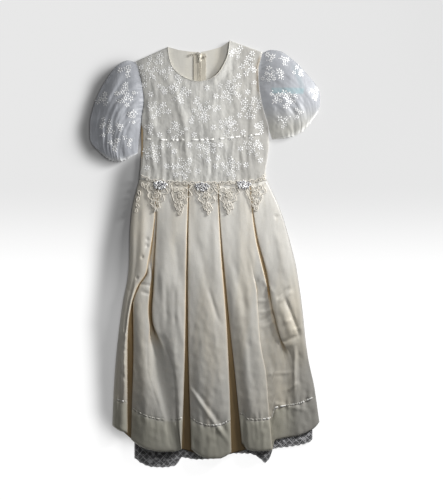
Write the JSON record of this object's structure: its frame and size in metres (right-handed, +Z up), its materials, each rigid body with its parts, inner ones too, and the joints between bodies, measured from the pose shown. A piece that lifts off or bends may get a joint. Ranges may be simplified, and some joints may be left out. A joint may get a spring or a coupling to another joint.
{
  "type": "christening gown",
  "caption": "Child's formal ivory satin dress laid flat: sheer flowered bodice, puff sleeves, lace waist trim and a box-pleated skirt over a lace-edged petticoat.",
  "frame": {"origin": "middle of the laid gown's outline, on the surface that it lies on", "axes": "+Z up out of the surface, +Y from the hem towards the neck, +X towards the picture's right (the wearer's left side)"},
  "size_m": [0.5081, 0.9423, 0.025],
  "materials": {
    "ivory_satin": "ivory bridal satin with a soft sheen",
    "flowered_organza": "sheer organza embroidered with small white flowers",
    "petticoat_cotton": "matt white cotton",
    "guipure_lace": "matt cream corded lace",
    "petticoat_lace": "matt grey-white lace edging",
    "satin_ribbon": "bright narrow satin ribbon",
    "zip_tape": "woven tape with a fine cream zip chain",
    "clear_beads": "clear faceted beads sewn close together"
  },
  "bodies": {
    "root": {"bodice_front": "ivory_satin", "bodice_front_overlay": "flowered_organza", "bodice_back_left": "ivory_satin", "bodice_back_right": "ivory_satin", "bodice_back_overlay_left": "flowered_organza", "bodice_back_overlay_right": "flowered_organza", "zip_tape": "zip_tape", "sleeve_left": "flowered_organza", "sleeve_right": "flowered_organza", "skirt_front": "ivory_satin", "skirt_back": "ivory_satin", "petticoat_front": "petticoat_cotton", "petticoat_back": "petticoat_cotton", "petticoat_lace_front": "petticoat_lace", "petticoat_lace_back": "petticoat_lace", "waist_lace": "guipure_lace", "bust_ribbon": "satin_ribbon", "hem_ribbon_side": "satin_ribbon", "hem_ribbon_wide": "satin_ribbon", "hem_ribbon_centre": "satin_ribbon", "hem_ribbon_right": "satin_ribbon", "hem_ribbon_far": "satin_ribbon", "bead_cluster_left": "clear_beads", "bead_cluster_middle": "clear_beads", "bead_cluster_right": "clear_beads"}
  },
  "joints": []
}
